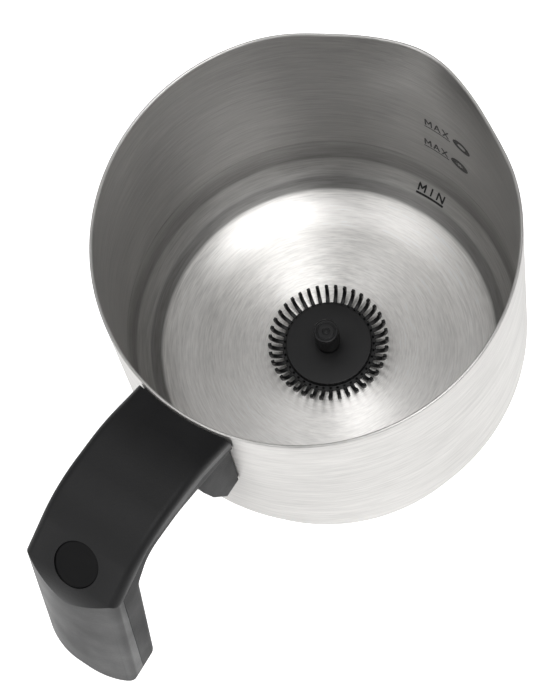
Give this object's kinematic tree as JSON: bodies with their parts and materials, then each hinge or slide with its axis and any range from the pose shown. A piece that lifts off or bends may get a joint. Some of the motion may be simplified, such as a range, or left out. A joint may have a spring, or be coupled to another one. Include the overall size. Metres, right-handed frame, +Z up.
{
  "type": "milk frother jug",
  "caption": "Stainless steel milk frother jug with a slanted rim, pouring lip, black side handle and a lift-out magnetic whisk that spins on a pin.",
  "frame": {"origin": "centre of the foot, on the surface the jug stands on", "axes": "+Z up along the jug's axis, +X towards the pouring lip, handle towards -X"},
  "size_m": [0.1557, 0.1008, 0.0862],
  "materials": {
    "jug_steel": "brushed",
    "cap_steel": "brushed",
    "plate_aluminium": "cast",
    "pin_steel": "polished",
    "comb_plastic": "matte",
    "knob_plastic": "matte",
    "bush_plastic": "smooth",
    "magnet_nickel": "nickel plated",
    "cap_plastic": "matte",
    "shell_plastic": "fine texture",
    "liner_plastic": "fine texture",
    "plug_plastic": "smooth",
    "root_plastic": "fine texture",
    "gasket_rubber": "matte",
    "bracket_steel": "pressed",
    "nut_steel": "zinc plated",
    "washer_steel": "zinc plated",
    "screw_steel": "zinc plated",
    "tapping_steel": "zinc plated"
  },
  "bodies": {
    "jug": {"jug_body": "jug_steel", "base_cap": "cap_steel", "heat_plate": "plate_aluminium", "pivot_pin": "pin_steel", "handle_shell": "shell_plastic", "handle_liner": "liner_plastic", "handle_plug": "plug_plastic", "root_block": "root_plastic", "handle_gasket": "gasket_rubber", "handle_bracket": "bracket_steel", "bracket_nut": "nut_steel", "bracket_washer": "washer_steel", "bracket_screw": "screw_steel", "shell_screws": "tapping_steel"},
    "bush": {"whisk_bush": "bush_plastic"},
    "whisk": {"whisk_comb": "comb_plastic", "whisk_knob": "knob_plastic", "whisk_magnets": "magnet_nickel", "magnet_cap": "cap_plastic"}
  },
  "joints": [
    {"name": "whisk_lift", "type": "slide", "parent": "jug", "child": "bush", "axis": [0, 0, 1], "range_m": [0, 0.09]},
    {"name": "whisk_spin", "type": "hinge", "parent": "bush", "child": "whisk", "pos_m": [0, 0, 0.01], "axis": [0, 0, 1], "continuous": true}
  ]
}
